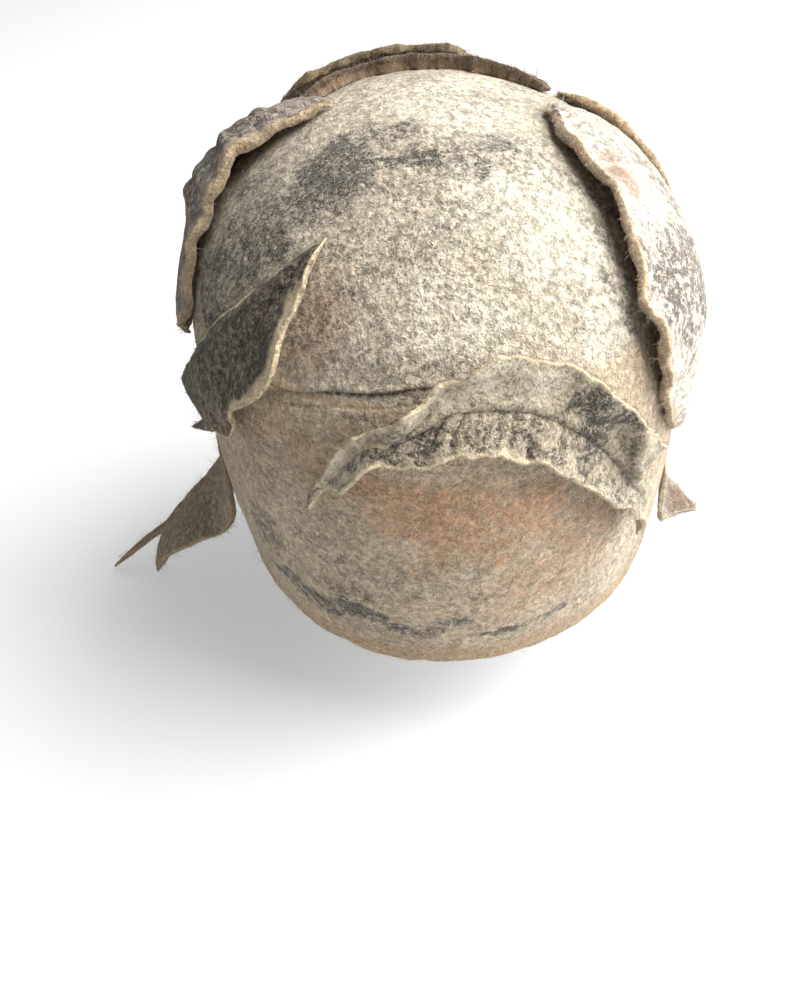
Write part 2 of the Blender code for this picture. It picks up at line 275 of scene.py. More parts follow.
def feltToneGroup():
    # felt colour: dark, warm and pale wool speckled over the base, with light and dark fibres, and painted
    # shade where the felt height is low; felt height: rounded nubs with the fibres raised on them
    group = bpy.data.node_groups.new("feltTones", "ShaderNodeTree")
    for name in ("Base", "Pale", "Dark", "Warm", "Cream", "Under", "Tones"):
        newSocket(group, name, "NodeSocketColor", "INPUT")
    for name in ("Cream Mask", "Under Mask", "Speckle"):
        newSocket(group, name, "NodeSocketFloat", "INPUT")
    for name, kind in (("Color", "NodeSocketColor"), ("Height", "NodeSocketFloat")):
        newSocket(group, name, kind, "OUTPUT")
    given = addNode(group, "NodeGroupInput").outputs
    coords = addNode(group, "ShaderNodeTexCoord").outputs["Object"]

    def noise(scale, detail, rough=0.6, distortion=0.0):
        # a noise in the piece's own coordinates
        return addNode(group, "ShaderNodeTexNoise", Vector=coords, Scale=scale, Detail=detail,
                       Roughness=rough, Distortion=distortion).outputs["Fac"]

    def ramp(value, low, high):
        # the same eased step as easedStep, in the shader
        limits = {"From Min": low, "From Max": high}
        return addNode(group, "ShaderNodeMapRange", interpolation_type="SMOOTHSTEP",
                       Value=value, **limits).outputs["Result"]

    def threads(scale, width, curl):
        # thin curling lines where a noise crosses its middle value
        fromLine = maths(group, "ABSOLUTE", maths(group, "SUBTRACT", noise(scale, 1.5, 0.5, curl), 0.5))
        return maths(group, "SUBTRACT", 1.0, ramp(fromLine, width * 0.3, width))

    fine = ramp(noise(nap["fineScale"], 2), 0.3, 0.7)
    nub = ramp(noise(nap["nubScale"], 2), 0.3, 0.7)
    grain = ramp(noise(nap["grainScale"], 3, 0.7, 1.0), 0.3, 0.7)
    blotch = ramp(noise(nap["blotchScale"], 3), 0.25, 0.75)
    lightThread, fineThread, darkThread = (
        threads(**nap[k]) for k in ("lightThread", "fineThread", "darkThread"))

    def summed(total, *terms):
        # a starting value, and each other value times its weight
        for value, weight in terms:
            total = maths(group, "MULTIPLY_ADD", value, weight, total)
        return total

    stipple = summed(0.0, (fine, 0.18), (nub, 0.44), (grain, 0.38))
    spread = maths(group, "MULTIPLY", maths(group, "SUBTRACT", stipple, 0.5), given["Speckle"])
    dark, warm, pale = addNode(group, "ShaderNodeSeparateColor", Color=given["Tones"]).outputs[:3]

    def speckled(tone, sign):
        # the speckle counts for more where there is more of the tone, so that patches stay mottled; the
        # stipple also raises the nubs, so pale wool lands on them and dark wool in the dips between them:
        # partly the wool's own speckle, partly painted shade
        swing = maths(group, "MULTIPLY", spread, maths(group, "MULTIPLY_ADD", tone, 1.9 * sign, 0.58 * sign))
        spot = maths(group, "ADD", tone, swing)
        return addNode(group, "ShaderNodeClamp", Value=spot, Min=0.0, Max=0.94).outputs[0]

    def laid(share, amount):
        # the share times an amount below 1
        return maths(group, "MULTIPLY", share, amount)

    # each layer is a share and the wool that shows there
    creamy = mixColour(group, laid(blotch, 0.35), given["Cream"], given["Warm"])
    layers = (
        (speckled(pale, 1.0), given["Pale"]), (speckled(warm, 0.55), given["Warm"]),
        (speckled(dark, -1.0), given["Dark"]), (given["Cream Mask"], creamy),
        (laid(darkThread, nap["darkShare"]), given["Dark"]), (given["Under Mask"], given["Under"]),
        (laid(lightThread, nap["lightShare"]), given["Pale"]),
        (laid(fineThread, nap["fineShare"]), given["Pale"]))
    colour = given["Base"]
    for share, wool in layers:
        colour = mixColour(group, share, colour, wool)
    # painted shade: the colour is multiplied darker where the blotches and the stipple are low, which is
    # where the felt height sinks between its nubs
    hollowShade = summed(0.6, (blotch, 0.2), (stipple, 0.54))
    hollowShadeGrey = addNode(group, "ShaderNodeCombineColor", Red=hollowShade, Green=hollowShade, Blue=hollowShade).outputs[0]
    height = summed(0.0, (grain, 0.28), (nub, 0.5), (lightThread, 0.2), (fineThread, 0.12), (blotch, 0.35))
    colour = mixColour(group, 1.0, colour, hollowShadeGrey, "MULTIPLY")
    addNode(group, "NodeGroupOutput", Color=colour, Height=height)
    return group


def newMaterial(name, inputs):
    # a material whose main shader has these inputs set
    material = bpy.data.materials.new(name)
    material.use_nodes = True
    shader = material.node_tree.nodes["Principled BSDF"]
    for key, value in inputs.items():
        shader.inputs[key].default_value = value
    return material, shader


def feltMaterial(name, look):
    # each felt has its own wools, and shares the mottling and nap of the group
    material, shader = newMaterial(name, {
        "Roughness": 0.92, "Specular IOR Level": 0.25,
        "Sheen Weight": look.get("sheen", 0.25), "Sheen Roughness": 0.45})
    tree = material.node_tree
    tones, under = (
        addNode(tree, "ShaderNodeAttribute", attribute_name=key).outputs for key in ("tones", "under"))
    masks = {"Tones": tones["Color"], "Cream Mask": tones["Alpha"], "Under Mask": under["Fac"]}
    wools = {key.title(): paint(*look[key]) for key in ("base", "pale", "dark", "warm", "cream", "under")}
    felt = addNode(tree, "ShaderNodeGroup", node_tree=toneGroup, Speckle=look.get("speckle", 0.85),
                   **masks, **wools).outputs
    bump = addNode(tree, "ShaderNodeBump", Strength=look.get("nap", 0.8), Distance=nap["bumpDistance"],
                   Height=felt["Height"])
    plug(tree, shader.inputs["Base Color"], felt["Color"])
    plug(tree, shader.inputs["Normal"], bump.outputs["Normal"])
    return material


toneGroup = feltToneGroup()


# Looks are screen colours. Tones are shares of dark, warm and pale wool all over, and a patch adds
# one of them at an azimuth and a share down, with a half width, a half height and a strength; a few
# crown patches are painted shade and painted light instead of wool, as marked where they stand.
crown = {
    "columns": 400, "outerRows": 176, "innerRows": 44, "rimRows": 7,
    "lumpHeight": .0003, "nubHeight": .00012, "rimWave": .00028, "foldHeight": .0009,
    "seamDown": .47, "seamMiddle": -25, "seamSpread": 23, "seamDepth": .0012,
    "look": {
        "base": (187, 174, 151), "pale": (237, 230, 212), "dark": (48, 43, 37),
        "warm": (182, 130, 98), "cream": (192, 163, 116), "under": (186, 170, 146),
        "speckle": .64, "nap": .9, "sheen": .16,
    },
    "tones": (.21, .07, .3),
    "patches": {
        "dark": ((-53, .178, .009, .018, 1), (-37, .172, .012, .013, .9), (-10, .138, .02, .009, .76),
            (-32, .092, .014, .008, .84), (-47, .235, .016, .008, .62), (22, .136, .018, .009, .6),
            # painted shade: the broad dark patch at azimuth -58, .34 down darkens the crown's left side
            # between the left leaf and the left flap
            (48, .165, .012, .009, .5), (-10, .18, .014, .008, .4), (-58, .34, .028, .05, .64),
            (-25, .3, .034, .036, .34), (-2, .425, .011, .003, .56), (-36, .905, .012, .005, .9),
            (-23, .88, .01, .004, .95), (-12, .905, .008, .0034, .84), (-2, .88, .008, .0024, .7),
            (8, .92, .012, .0016, .95), (24, .91, .012, .0014, .75), (-26, .835, .011, .0032, .66),
            (-49, .8, .01, .012, .7), (-44, .88, .012, .007, .85), (60, .93, .012, .006, .55),
            # painted shade: the dark patch at azimuth -15, .5 down lies in the crease by the ruffle's left
            # end
            # painted shadow: the narrow dark strips at azimuth 58, 50, 45 and 48 lie along the right flap's
            # lifted free edge, where the flap shades the crown
            (-15, .5, .012, .0026, .36), (-30, .75, .014, .006, .42), (58, .29, .003, .018, .5),
            (50, .38, .003, .018, .5), (45, .47, .003, .018, .46), (48, .56, .003, .014, .44),
            (-14, .8, .03, .006, .34), (-120, .56, .03, .02, .5), (150, .6, .04, .018, .5),
            (110, .82, .03, .014, .48)),
        "pale": ((60, .04, .022, .02, .8), (36, .26, .022, .046, .8), (75, .08, .026, .014, .85),
            # painted light: the pale patch at azimuth 44, .86 down brightens the lower right, where the light
            # falls most
            (0, .37, .024, .016, .58), (44, .86, .02, .022, .85), (180, .5, .05, .022, .66)),
        "warm": ((-14, .606, .02, .007, .8), (-2, .64, .022, .012, .9), (10, .69, .026, .014, .8),
            (26, .72, .02, .014, .66), (22, .8, .024, .014, .46), (-29, .4, .009, .016, .34),
            (-36, .59, .02, .014, .3), (-160, .7, .036, .02, .44)),
    },
}


def crownSeam(azimuth, down):
    # the upper felt ends in a small lip, drops sharply at the seam and eases back below it; the
    # second result darkens the seam's lines and the third is 1 along the seam and fades at its ends
    wander = 0.004 * np.sin(np.radians(azimuth) * 7) + 0.002 * np.sin(np.radians(azimuth) * 19)
    below = (down - crown["seamDown"] - wander + 0.0009 * (azimuth + 18)) * 0.25
    fade = np.exp(-(((azimuth - crown["seamMiddle"]) / crown["seamSpread"]) ** 4))
    lip = 0.5 * bell(below + 0.0014, 0.0016)
    groove = easedStep(below, -0.0006, 0.0002) * np.exp(-(below.clip(0) / 0.0034))
    second = 0.35 * bell(below - 0.0052, 0.0006)
    line = bell(below - 0.0002, 0.00045) + 0.35 * bell(below - 0.005, 0.0005)
    return crown["seamDepth"] * fade * (lip - groove - second), fade * line, fade


def buildCrown():
    # rows run from the outer pole down to the rim, round its edge and up the inside
    c = crown
    outerDown = np.interp(np.linspace(0, 1, c["outerRows"] + 1), (0, 0.34, 0.66, 1), (0, 0.435, 0.515, 1))
    innerDown = np.linspace(1, 0, c["innerRows"] + 1)
    turn = np.linspace(0, np.pi, c["rimRows"] + 2)[1:-1]
    down = np.concatenate([outerDown, np.ones(c["rimRows"]), innerDown])
    outer, inner = np.zeros(c["outerRows"] + 1), np.zeros(c["innerRows"] + 1)
    inward = np.concatenate([outer, 0.5 - 0.5 * np.cos(turn), inner + 1])
    drop = np.concatenate([outer, np.sin(turn), inner])
    azimuth, down = np.meshgrid(np.linspace(-180, 180, c["columns"], endpoint=False), down)
    inward, drop = inward[:, None], drop[:, None]
    surface = crownPoint(azimuth, down)
    normal = crownNormal(azimuth, down.clip(0.0012, 1))
    lower = unit(crownPoint(azimuth, down + 0.002) - crownPoint(azimuth, down - 0.002))
    outside = 1 - inward
    seamRelief, seamLine, seamFade = crownSeam(azimuth, down)
    fromFold = (down - 0.85 - 0.0005 * (azimuth + 38)) / 0.022
    relief = (c["lumpHeight"] * crumple(surface, 0.01, 3) + c["nubHeight"] * lumps(surface, 0.0034, 9)
              + c["rimWave"] * easedStep(down, 0.8, 0.93) * lumps(surface * np.array([1, 1, 5]), 0.03, 15)
              + c["foldHeight"] * np.exp(-fromFold ** 2 - ((azimuth + 38) / 30) ** 4)
              + seamRelief) * outside
    ragged = 0.0005 * crumple(surface, 0.006, 21) * easedStep(down, 0.985, 1.0)
    points = (surface + normal * (relief - inward * crownShape["felt"])[..., None]
              + lower * (drop * 0.0006 + ragged)[..., None])
    rows, columns = points.shape[:2]
    index = np.arange(rows * columns).reshape(rows, columns)
    index[0, :] = index[0, 0]
    index[-1, :] = index[-1, 0]
    index = np.concatenate([index, index[:, :1]], axis=1)
    faces = quadsOf(index)
    # cells at the poles are triangles with one corner repeated last
    first = faces[:, 0] == faces[:, 3]
    last = faces[:, 1] == faces[:, 2]
    faces[last] = faces[last][:, [0, 1, 3, 3]]
    faces[first] = faces[first][:, [0, 1, 2, 2]]
    flat = points.reshape(-1, 3)
    tones = toneArray(surface.reshape(-1, 3), c["tones"], c["patches"])
    tones[0] = tones[0] + 0.9 * (seamLine * outside).ravel()
    rimBand = easedStep(down + 0.012 * crumple(surface, 0.01, 41), 0.94, 0.972).ravel() * 0.75
    below = down - c["seamDown"]
    lowerTint = easedStep(below, 0.0, 0.03).ravel() * 0.42
    # below the seam lies a band of cream wool; it is also made paler and less dark to lift the groove's
    # shade: partly the wool's own colour, partly painted light
    belowSeam = easedStep(below, 0.004, 0.012) * (1 - easedStep(below, 0.02, 0.03))
    belowSeam = (belowSeam * seamFade).ravel() * 0.72
    tones[1] = tones[1] + 0.6 * rimBand
    tones[0] = tones[0] - 0.5 * belowSeam
    tones[2] = tones[2] + belowSeam
    cream = np.maximum(np.maximum(rimBand, belowSeam), lowerTint) * (1 - tones[0].clip(0, 1))
    under = np.broadcast_to(easedStep(inward, 0.6, 1.0), down.shape).ravel()
    used, inverse = np.unique(faces, return_inverse=True)
    faces = inverse.reshape(faces.shape)
    attributes = {"tones": np.stack([*tones, cream], -1)[used], "under": under[used]}
    mesh = meshFromGrid("crownFelt", flat[used], faces, attributes)
    addPiece("crownFelt", mesh, "crown", feltMaterial("crownFelt", c["look"]))


def facesInward(points, faces):
    # true where the faces point inwards: their signed volume is negative
    a, b, c, d = (points[faces[:, k]] for k in range(4))
    return (np.cross(a, b) * c).sum() + (np.cross(a, c) * d).sum() < 0


buildCrown()


# Each leaf is cut into sections along its length: edge a and edge b as azimuth, share down and
# lift share, and the lift share halfway across. lips is half the thickness at edges a and b, cream
# the width of the cream wool there, and wander the height and size of the waves in a cut edge.
greyWool = {
    "base": (150, 138, 120), "pale": (206, 198, 184), "dark": (60, 53, 46),
    "warm": (150, 118, 92), "cream": (236, 216, 180), "under": (190, 170, 138),
}
leaves = {
    "back_ruffle": {
        "lips": (.0007, .0009), "slot": "ruffle_felt", "lift": .005,
        "wave": .003, "waves": 5, "steps": (230, 84),
        "wander": (.0015, .008), "cream": (.0006, .0009),
        "look": {"base": (174, 160, 134), "pale": (214, 204, 186), "dark": (54, 50, 45),
                 "warm": (150, 134, 100), "cream": (222, 205, 172), "under": (196, 180, 150),
                 "speckle": 1.0, "sheen": .18},
        "tones": (.28, .2, .3),
        "patches": {
            "dark": ((-9, .525, .012, .007, .8), (30, .52, .011, .012, 1.1), (27, .575, .007, .006, 1),
                (-24, .606, .01, .003, .6), (3, .522, .022, .007, .68), (17, .56, .012, .006, .6)),
            "pale": ((30, .66, .014, .009, .75), (38, .69, .012, .012, .75), (42, .6, .008, .012, .95),
                (12, .45, .028, .01, .9), (-22, .56, .016, .008, .6)),
            "warm": ((9, .455, .02, .009, .2),)},
        "sections": (
            (-30.5, .632, .3, -29, .646, .5, .25), (-24, .575, .6, -25, .608, .7, .1),
            (-18.5, .52, .9, -19, .58, .9, 0), (-12, .5, .9, -14, .546, .9, 0),
            (-5, .466, 1, -7, .545, 1, 0), (2, .44, 1, 0, .537, 1, 0), (9, .424, 1, 7, .543, 1, 0),
            (16.5, .436, 1, 14, .563, 1, 0), (24, .466, 1, 21, .6, 1, 0), (31, .518, .9, 28, .655, 1, 0),
            (36.5, .56, .8, 33, .695, 1, .05), (42, .615, .7, 37.5, .745, 1, .15),
            (46.5, .66, .6, 41, .785, .8, .25)),
    },
    "left_leaf": {
        "lips": (.0006, .0008), "slot": "dark_leaf_felt", "lift": .0065, "steps": (170, 80),
        "wander": (.0007, .006), "cream": (.001, .0017),
        "spreadB": (.5, .9, 2.3, 1.1, 1.9, 2.0, .9, .9, .8),
        "look": {**greyWool, "base": (92, 84, 70), "pale": (148, 137, 116),
                 "dark": (34, 30, 24), "warm": (170, 144, 112), "cream": (244, 226, 188),
                 "speckle": 1.3, "sheen": .16},
        "tones": (.5, .05, .26),
        "patches": {
            "dark": ((-31, .31, .008, .01, .85), (-36, .4, .006, .03, .7), (-42, .54, .008, .008, .85)),
            "warm": ((-50, .6, .012, .012, .5),)},
        "sections": (
            (-32, .281, .1, -28.6, .281, .55, .3), (-37.5, .312, 0, -28.5, .318, 1, .3),
            (-43.5, .355, 0, -29.5, .364, 1, .3), (-49.5, .4, 0, -31.5, .41, 1, .3),
            (-55.5, .445, 0, -32.5, .458, 1, .25), (-61.5, .5, .05, -36, .493, 1, .25),
            (-67.5, .555, .15, -40.5, .522, .9, .25), (-75.5, .625, .7, -44.5, .545, .7, .2),
            (-64.5, .64, .3, -46, .57, .45, .15), (-73, .702, .9, -48.5, .6, .4, .15)),
    },
    "left_flap": {
        "lips": (.0014, .001), "filled": .1, "rag": .35, "slot": "left_flap_felt", "lift": .0085,
        "steps": (190, 84), "hairs": 520, "wander": (.0011, .007), "cream": (.0016, .0006),
        "spreadA": (.6, .8, 2.2, 2.6, .8, 1.8, 2.6, 2.0, 1.0),
        "look": {**greyWool, "base": (142, 130, 116), "pale": (190, 180, 164),
                 # the left flap's cream edge is darker than the other leaves' cream because it lies on the
                 # shaded side: painted shade on the wool's own colour
                 "under": (150, 128, 98), "cream": (186, 166, 132), "speckle": 1.3},
        "tones": (.38, .16, .3),
        "patches": {"dark": ((-90, .3, .014, .014, .75), (-84, .45, .01, .014, .6))},
        "sections": (
            (-96, .118, .1, -103, .128, .1, .1), (-91, .16, .55, -112, .18, .1, .25),
            (-84, .21, .85, -119, .235, .05, .35), (-80, .26, 1, -124, .29, 0, .4),
            (-77, .31, 1, -126, .345, 0, .45), (-76, .36, .8, -123, .4, 0, .4),
            (-75, .405, .55, -117, .45, 0, .2), (-74, .45, .5, -109, .5, 0, .15),
            (-73, .495, .6, -101, .545, 0, .15), (-76, .54, .5, -94, .58, 0, .15),
            (-81, .58, .15, -88, .595, 0, .05)),
    },
    "right_flap": {
        "lips": (.0015, .001), "rag": .35, "slot": "right_flap_felt", "lift": .0085,
        "steps": (200, 84), "hairs": 520, "wander": (.0011, .007), "cream": (.0011, .0008),
        "spreadA": (.6, .7, .8, 1.0, 1.2, 1.5, 2.0, 2.6, 2.0),
        "look": {**greyWool, "base": (206, 194, 176), "pale": (234, 227, 214),
                 "dark": (84, 75, 68), "under": (160, 128, 94),
                 "cream": (204, 178, 142), "speckle": 1.3},
        "tones": (.2, .06, .5),
        "patches": {
            "warm": ((67, .275, .004, .003, .6), (61, .305, .005, .006, .85)),
            "dark": ((56, .475, .011, .018, 1.1), (67, .47, .013, .018, 1.05),
                (80, .4, .012, .016, .6), (58, .59, .007, .009, .4))},
        "sections": (
            (85, .182, .15, 93, .19, 0, .05), (71, .212, .7, 97, .24, 0, .25),
            (60, .258, .9, 101, .3, 0, .3), (53, .325, 1, 101, .36, 0, .25), (48, .4, 1, 98, .43, 0, .25),
            (45, .46, 1, 95, .495, 0, .35), (46, .52, .8, 91, .55, 0, .35), (49, .58, .6, 83, .61, 0, .15),
            (53, .64, .3, 73, .67, 0, .05), (60, .705, .05, 65, .71, 0, 0)),
    },
    "top_flap": {
        "lips": (.0013, .0011), "filled": 1.0, "rag": .3, "slot": "brown_felt", "lift": .002,
        "steps": (200, 44), "hairs": 1100, "wander": (.0018, .006), "cream": (.0007, .0008),
        "look": {**greyWool, "base": (92, 79, 64), "pale": (150, 134, 112),
                 "dark": (48, 38, 32), "warm": (112, 80, 66), "cream": (116, 98, 78),
                 "under": (120, 100, 78), "speckle": 1.6},
        "tones": (.46, .14, .26),
        "patches": {
            "pale": ((-142, .18, .02, .01, .6), (-208, .18, .01, .008, .55)),
            "dark": ((-180, .19, .022, .016, .8),),
            "warm": ((-222, .2, .024, .016, .6),)},
        "sections": (
            (-114, .186, .1, -116, .194, 0, .05), (-130, .17, .8, -131, .212, 0, .2),
            (-150, .157, 1, -151, .22, 0, .25), (-170, .15, 1, -170, .223, 0, .25),
            (-190, .15, 1, -190, .226, 0, .3), (-210, .16, 1, -210, .236, 0, .3),
            (-228, .185, .8, -227, .245, 0, .25), (-243, .222, .2, -242, .24, 0, .1)),
    },
    "front_left_leaf": {
        "lips": (.0013, .0012), "rag": .3, "slot": "olive_felt", "lift": .0052,
        "steps": (150, 80), "hairs": 520, "wander": (.002, .008), "cream": (.0009, .0009),
        "look": {**greyWool, "base": (116, 104, 80), "pale": (170, 156, 124),
                 "dark": (58, 50, 38), "warm": (124, 100, 74), "cream": (140, 124, 96),
                 "under": (126, 110, 84), "speckle": 1.5},
        "tones": (.36, .24, .3),
        "patches": {"dark": ((-160, .3, .016, .014, .65),), "pale": ((-185, .33, .016, .012, .6),)},
        "sections": (
            (-126, .262, .5, -127, .285, .15, .3), (-137, .215, .9, -136, .335, 0, .45),
            (-152, .195, 1, -149, .385, 0, .45), (-168, .183, 1, -166, .405, 0, .45),
            (-184, .182, 1, -183, .39, 0, .45), (-196, .196, .95, -198, .345, 0, .45),
            (-206, .262, .5, -206, .285, .15, .3)),
    },
    "front_right_leaf": {
        "lips": (.0013, .0012), "slot": "russet_felt", "lift": .0035, "steps": (130, 70),
        "wander": (.0008, .008), "cream": (.0014, .0012),
        "look": {**greyWool, "base": (154, 128, 104), "pale": (206, 188, 160),
                 "dark": (84, 62, 52), "warm": (138, 96, 78), "cream": (220, 196, 158),
                 "under": (172, 146, 116), "speckle": 1.2},
        "tones": (.3, .36, .32),
        "patches": {"warm": ((118, .36, .014, .008, .75),), "dark": ((120, .43, .012, .012, .65),)},
        "sections": (
            (121, .29, .2, 125, .298, .05, .1), (112, .318, .8, 131, .33, .05, .25),
            (108, .352, 1, 136, .375, .05, .3), (105, .392, 1, 137, .42, .05, .3),
            (102, .436, 1, 132, .465, .05, .3), (100, .482, .8, 124, .505, .05, .2),
            (99, .53, .3, 110, .54, .05, .1)),
    },
    "left_tail_long": {
        "lips": (.0011, .001), "slot": "tail_felt", "lift": .05, "steps": (150, 50),
        "wander": (.0006, .007), "cream": (.0008, .0008),
        "look": {**greyWool, "base": (172, 154, 126), "pale": (202, 186, 158),
                 "dark": (72, 62, 56), "warm": (140, 110, 84), "cream": (178, 156, 124),
                 "under": (150, 130, 104)},
        "tones": (.32, .2, .34),
        "sections": (
            (-94, .8, 0, -86, .8, 0, 0), (-98, .86, 0, -80, .865, 0, 0),
            (-98, .915, .08, -76, .915, .03, .05), (-97, .965, .3, -78, .965, .14, .22),
            (-96, 1.01, .56, -82, 1.005, .4, .48), (-95, 1.06, .82, -86, 1.05, .72, .77),
            (-92, 1.115, 1, -90, 1.115, .97, .985)),
    },
    "left_tail_short": {
        "lips": (.001, .001), "slot": "tail_edge_felt", "lift": .078, "steps": (130, 30),
        "wander": (.0005, .007), "cream": (.0008, .0008),
        "look": {**greyWool, "base": (166, 142, 108), "pale": (196, 176, 142),
                 "dark": (90, 74, 56), "warm": (150, 116, 84), "cream": (192, 168, 130),
                 "under": (164, 140, 108)},
        "tones": (.28, .34, .34),
        "sections": (
            (-106, .87, 0, -100, .87, 0, 0), (-108, .935, 0, -100, .94, 0, 0),
            (-107, 1.015, .12, -101, 1.01, .11, .115), (-105, 1.085, .38, -101, 1.075, .37, .375),
            (-103, 1.135, .7, -100, 1.125, .69, .695), (-99, 1.17, 1, -98, 1.165, .99, .995)),
    },
    "right_tip": {
        "lips": (.001, .001), "slot": "tip_felt", "lift": .016, "steps": (80, 44),
        "wander": (.0005, .006), "cream": (.0006, .0008),
        "look": {**greyWool, "base": (186, 174, 158), "pale": (216, 208, 194),
                 "warm": (128, 98, 72), "cream": (196, 176, 146)},
        "tones": (.32, .16, .34),
        "patches": {"warm": ((77, .985, .012, .01, .85),)},
        "sections": (
            (84, .895, 0, 74, .885, 0, 0), (82, .932, .1, 68, .945, .1, .06),
            (80, .957, .55, 73, .966, .45, .48), (78, .978, 1, 77, .976, .99, .99)),
    },
}


def smoothColumn(values, share):
    # a cubic through evenly spaced values whose slopes never overshoot them
    values = np.array(values, dtype=float)
    steps = np.diff(values)
    slopes = np.zeros(len(values))
    sameWay = steps[:-1] * steps[1:] > 0
    total = np.where(sameWay, steps[:-1] + steps[1:], 1)
    slopes[1:-1] = np.where(sameWay, 2 * steps[:-1] * steps[1:] / total, 0)
    slopes[0] = steps[0]
    slopes[-1] = steps[-1]
    place = share * (len(values) - 1)
    first = np.minimum(place.astype(int), len(values) - 2)
    t = place - first
    rise = values[first] + steps[first] * (3 * t**2 - 2 * t**3)
    return rise + slopes[first] * (t - 2 * t**2 + t**3) + slopes[first + 1] * (t**3 - t**2)


def sectionColumns(leaf, along, picks):
    # the picked columns of the leaf's table, smoothed along its length
    columns = list(zip(*leaf["sections"]))
    return [smoothColumn(columns[k], along) for k in picks]


def leafFlare(across):
    # 0 halfway across the leaf and 1 at both edges
    return np.abs(2 * across - 1) ** 1.6


def leafLift(leaf, along, across):
    # the lift halfway across, turning into that of the nearer edge
    liftA, liftB, middle = sectionColumns(leaf, along, (2, 5, 6))
    edgeLift = np.where(2 * across - 1 < 0, liftA, liftB)
    return leaf["lift"] * (middle + (edgeLift - middle) * leafFlare(across))


def leafMiddle(leaf, along, across):
    # each section runs straight on the crown from edge a to edge b, and lifts toward both
    aziA, downA, aziB, downB = sectionColumns(leaf, along, (0, 1, 3, 4))
    azimuth = aziA + (aziB - aziA) * across
    down = downA + (downB - downA) * across
    phase = np.where(2 * across - 1 < 0, 0, np.pi)
    beat = 2 * np.pi * leaf.get("waves", 0) * along + phase
    ripple = leaf.get("wave", 0) * (0.5 - 0.5 * np.cos(beat)) * leafFlare(across)
    height = seatGap + leafFelt / 2 + leafLift(leaf, along, across) + ripple
    normal = crownNormal(azimuth, down)
    return crownPoint(azimuth, down) + normal * height[..., None], normal


def ruffleFolds(along, across):
    # a sharp valley along the vein, flutes that grow down the lower wing, puckers and a rolled
    # edge on the upper one; the second result is painted shade in the vein's valley, the pits of the
    # flutes and the pocket, painted shade and light along the quick flutes, painted shade on the left
    # flank of the raised corner and a painted highlight on its right; it also makes the upper wing less
    # dark, most at its left end
    vein = smoothColumn((0.74, 0.72, 0.58, 0.44, 0.55, 0.56, 0.54, 0.64, 0.7), along)
    fromVein = across - (vein + 0.008 * np.sin(31 * along))
    fade = easedStep(along, 0.12, 0.3)
    valley = 0.0012 * bell(fromVein + 0.09, 0.05) - 0.0022 * bell(fromVein, 0.026)
    beat = 2 * np.pi * (7.5 * along + 0.4 * np.sin(8 * along)) - 2.2 * fromVein
    size = 0.45 + 0.45 * np.sin(13 * along + 1.0) + 0.7 * easedStep(along, 0.7, 0.95)
    flutes = 0.0021 * size * np.sin(beat) * easedStep(fromVein, 0.02, 0.42)
    quickBeat = 2 * np.pi * (17 * along + 0.8 * np.sin(13 * along)) + 3 * fromVein + 1.5 * np.sin(9 * across)
    quick = np.sin(quickBeat) * (0.55 + 0.45 * np.sin(29 * along + 4 * across))
    gathers = (easedStep(along, 0.3, 0.38) * (1 - easedStep(along, 0.64, 0.74))
               * easedStep(fromVein, 0.0, 0.1))
    puckers = 0.0011 * np.sin(2 * np.pi * 6.5 * along + 2.0 + 3 * across) * easedStep(-fromVein, 0.03, 0.4)
    roll = 0.0016 * (0.6 + 0.4 * np.sin(17 * along)) * easedStep(-fromVein, 0.3, 0.52)
    crest = 0.835 + 0.05 * across - along
    ridge = (np.where(crest > 0, 1 - crest / 0.085, 1 + crest / 0.05).clip(0) ** 1.3
             * (1 - easedStep(fromVein, -0.15, 0.1)))
    flutes = flutes + 0.0008 * quick * gathers + 0.0058 * ridge
    flutePitShade = (easedStep(-np.sin(beat), 0.3, 1) * easedStep(fromVein, 0.03, 0.2)
            * (1 - easedStep(fromVein, 0.35, 0.48)))
    # painted shade: the vein's valley and the flutes' pits are darkened; below, the quick flutes are
    # lightened on their crests and darkened in their dips, the raised corner gets painted shade on its left
    # flank and a painted highlight on its right, and the pocket is darkened
    dark = 0.85 * bell(fromVein - 0.01, 0.016) + 0.3 * flutePitShade
    dark = (dark - 0.22 * quick * gathers + 0.4 * ridge * easedStep(crest, 0, 0.012)
            - 0.6 * ridge * (1 - easedStep(crest, -0.006, 0.002)))
    leftEnd = 1 - easedStep(along, 0.2, 0.42)
    brace = 0.0026 * leftEnd * easedStep(along, 0, 0.1) * (1 - (2 * across - 1) ** 2)
    pocket = (bell(across - 0.7, 0.1) * easedStep(along, 0.05, 0.12)
              * (1 - easedStep(along, 0.2, 0.3)))
    smooth = (0.16 + 0.14 * (1 - easedStep(along, 0.18, 0.34))) * easedStep(-fromVein, -0.05, 0.08)
    height = (valley + flutes + puckers + roll) * fade + brace - 0.001 * pocket
    return height, dark * fade + 0.6 * pocket - smooth


def flapSwell(along, across):
    # slow swells that run out to the free edge, which turns down toward the crown
    swell = 0.0012 * np.sin(2 * np.pi * 3.2 * along + 1.5) + 0.0007 * np.sin(2 * np.pi * 7.3 * along)
    return (swell - 0.003) * (1 - easedStep(across, 0.0, 0.38))


def rightFlapFolds(along, across):
    # the swells, a low crown behind the free edge, and a shallow crease down the streaked patch
    behind = 0.0012 * bell(across - 0.34, 0.18)
    fromCrease = (across - 0.42 - 0.05 * np.sin(9 * along)) / 0.03
    crease = -0.0012 * np.exp(-fromCrease ** 2) * easedStep(along, 0.4, 0.55)
    return flapSwell(along, across) + behind + crease, 0 * along


